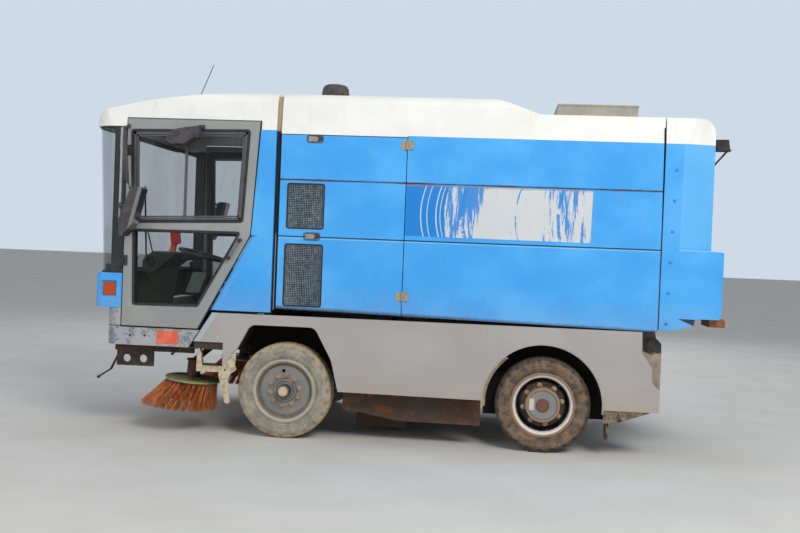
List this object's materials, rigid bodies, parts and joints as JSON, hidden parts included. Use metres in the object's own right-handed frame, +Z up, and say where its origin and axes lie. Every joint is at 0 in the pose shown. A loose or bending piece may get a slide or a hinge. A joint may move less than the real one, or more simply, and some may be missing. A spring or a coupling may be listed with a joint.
{
  "type": "street sweeper truck",
  "caption": "Compact road sweeper with a glazed forward cab, tipping hopper, lifting rear hatch, steered front wheels and tilted side brushes.",
  "frame": {"origin": "on the ground, midway between the front and the rear of the vehicle, on its centre plane", "axes": "-X is forward, -Y is the vehicle's left side, +Z is up"},
  "size_m": [4.747, 2.536, 2.8541],
  "materials": {
    "body_blue": "sun-bleached gloss paint",
    "body_white": "chalky paint",
    "skirt_grey": "dusty satin paint",
    "chassis_black": "dusty chassis paint",
    "engine_grey": "painted casting",
    "rubber_black": "dusty rubber",
    "glass_clear": "clear",
    "trim_black": "matt",
    "hopper_steel": "scoured steel",
    "lamp_amber": "moulded lens",
    "lamp_red": "moulded lens",
    "cab_grey": "grained",
    "seat_fabric": "woven",
    "tyre_black": "dusty",
    "rim_grey": "dusty paint",
    "cylinder_steel": "ground rod, painted barrel",
    "brush_rust": "rusty flat bristles"
  },
  "bodies": {
    "chassis": {"rail_left": "chassis_black", "rail_right": "chassis_black", "outriggers": "chassis_black", "cross_members": "chassis_black", "rear_beam": "chassis_black", "front_axle": "chassis_black", "rear_axle": "chassis_black", "leaf_springs": "chassis_black", "engine_block": "engine_grey", "skirt_left": "skirt_grey", "skirt_right": "skirt_grey", "lower_valances": "skirt_grey", "rear_mudflaps": "rubber_black", "windscreen": "glass_clear", "a_pillars": "trim_black", "b_pillars": "body_blue", "front_bumper": "skirt_grey", "front_panel": "body_blue", "front_lamps": "lamp_amber", "cab_tub": "cab_grey", "cab_roof": "body_white", "cab_fittings": "trim_black", "dash_console": "cab_grey", "driver_seat": "seat_fabric", "suction_mouth": "skirt_grey"},
    "steer_left": {"knuckle_left": "chassis_black"},
    "steer_right": {"knuckle_right": "chassis_black"},
    "tie_rod": {"tie_rod": "chassis_black"},
    "tip_body": {"engine_hood": "body_white", "hopper_roof": "body_white", "hopper_side_left": "body_blue", "hopper_side_right": "body_blue", "hopper_bulkhead": "hopper_steel", "hopper_floor": "hopper_steel", "roof_box": "body_white", "intake_cap": "trim_black"},
    "engine_door_left": {"engine_door_left": "body_blue"},
    "engine_door_right": {"engine_door_right": "body_blue"},
    "hatch": {"rear_hatch": "body_white", "rear_lamps": "lamp_red"},
    "cab_door_left": {"door_left": "body_blue", "door_glass_left": "glass_clear", "mirror_left": "trim_black"},
    "cab_door_right": {"door_right": "body_blue", "door_glass_right": "glass_clear", "mirror_right": "trim_black"},
    "tip_barrels": {"tip_barrels": "cylinder_steel"},
    "tip_rods": {"tip_rods": "cylinder_steel"},
    "brush_arm_left": {"brush_arm_left": "chassis_black"},
    "brush_arm_right": {"brush_arm_right": "chassis_black"},
    "brush_left": {"brush_left": "brush_rust"},
    "brush_right": {"brush_right": "brush_rust"},
    "wheel_front_left": {"tyre_front_left": "tyre_black", "rim_front_left": "rim_grey"},
    "wheel_front_right": {"tyre_front_right": "tyre_black", "rim_front_right": "rim_grey"},
    "wheel_rear_left": {"tyre_rear_left": "tyre_black", "rim_rear_left": "rim_grey"},
    "wheel_rear_right": {"tyre_rear_right": "tyre_black", "rim_rear_right": "rim_grey"}
  },
  "joints": [
    {"name": "steer_left", "type": "hinge", "parent": "chassis", "child": "steer_left", "pos_m": [-0.83, -0.77, 0.35], "axis": [0, 0, 1], "range_deg": [-35, 35]},
    {"name": "steer_right", "type": "hinge", "parent": "chassis", "child": "steer_right", "pos_m": [-0.83, 0.77, 0.35], "axis": [0, 0, 1], "range_deg": [-35, 35]},
    {"name": "tie_rod_eye", "type": "hinge", "parent": "steer_left", "child": "tie_rod", "pos_m": [-0.665, -0.76, 0.26], "axis": [0, 0, 1], "range_deg": [-35, 35]},
    {"name": "wheel_front_left", "type": "hinge", "parent": "steer_left", "child": "wheel_front_left", "pos_m": [-0.83, -0.9175, 0.358], "axis": [0, 1, 0], "continuous": true},
    {"name": "wheel_front_right", "type": "hinge", "parent": "steer_right", "child": "wheel_front_right", "pos_m": [-0.83, 0.9175, 0.358], "axis": [0, 1, 0], "continuous": true},
    {"name": "wheel_rear_left", "type": "hinge", "parent": "chassis", "child": "wheel_rear_left", "pos_m": [1.095, -0.9175, 0.352], "axis": [0, 1, 0], "continuous": true},
    {"name": "wheel_rear_right", "type": "hinge", "parent": "chassis", "child": "wheel_rear_right", "pos_m": [1.095, 0.9175, 0.352], "axis": [0, 1, 0], "continuous": true},
    {"name": "tip_hinge", "type": "hinge", "parent": "chassis", "child": "tip_body", "pos_m": [1.868, 0, 0.812], "axis": [0, 1, 0], "range_deg": [0, 48]},
    {"name": "engine_door_hinge_left", "type": "hinge", "parent": "tip_body", "child": "engine_door_left", "pos_m": [0.035, -1.084, 1.6], "axis": [0, 0, 1], "range_deg": [0, 90]},
    {"name": "engine_door_hinge_right", "type": "hinge", "parent": "tip_body", "child": "engine_door_right", "pos_m": [0.035, 1.084, 1.6], "axis": [0, 0, -1], "range_deg": [0, 90]},
    {"name": "hatch_hinge", "type": "hinge", "parent": "tip_body", "child": "hatch", "pos_m": [1.89, 0, 2.498], "axis": [0, -1, 0], "range_deg": [0, 75]},
    {"name": "cab_door_hinge_left", "type": "hinge", "parent": "chassis", "child": "cab_door_left", "pos_m": [-2.086, -1.085, 1.7], "axis": [0, 0, -1], "range_deg": [0, 75]},
    {"name": "cab_door_hinge_right", "type": "hinge", "parent": "chassis", "child": "cab_door_right", "pos_m": [-2.086, 1.085, 1.7], "axis": [0, 0, 1], "range_deg": [0, 75]},
    {"name": "tip_barrel_pin", "type": "hinge", "parent": "chassis", "child": "tip_barrels", "pos_m": [1.65, 0, 0.56], "axis": [0, 1, 0], "range_deg": [0, 42]},
    {"name": "tip_rod_slide", "type": "slide", "parent": "tip_barrels", "child": "tip_rods", "axis": [-0.7714, 0, 0.6364], "range_m": [0, 0.27]},
    {"name": "brush_lift_left", "type": "hinge", "parent": "chassis", "child": "brush_arm_left", "pos_m": [-1.235, -0.52, 0.625], "axis": [0, -1, 0], "range_deg": [0, 18]},
    {"name": "brush_lift_right", "type": "hinge", "parent": "chassis", "child": "brush_arm_right", "pos_m": [-1.235, 0.52, 0.625], "axis": [0, -1, 0], "range_deg": [0, 18]},
    {"name": "brush_spin_left", "type": "hinge", "parent": "brush_arm_left", "child": "brush_left", "pos_m": [-1.59, -0.815, 0.392], "axis": [0.0872, 0, 0.9962], "continuous": true},
    {"name": "brush_spin_right", "type": "hinge", "parent": "brush_arm_right", "child": "brush_right", "pos_m": [-1.59, 0.815, 0.392], "axis": [0.0872, 0, 0.9962], "continuous": true}
  ],
  "couplings": [
    {"joint": "steer_right", "follows": "steer_left", "ratio": 1},
    {"joint": "tie_rod_eye", "follows": "steer_left", "ratio": -1},
    {"joint": "tip_barrel_pin", "follows": "tip_hinge", "ratio": 0.8598},
    {"joint": "tip_rod_slide", "follows": "tip_hinge", "m_per_rad": 0.31314}
  ]
}
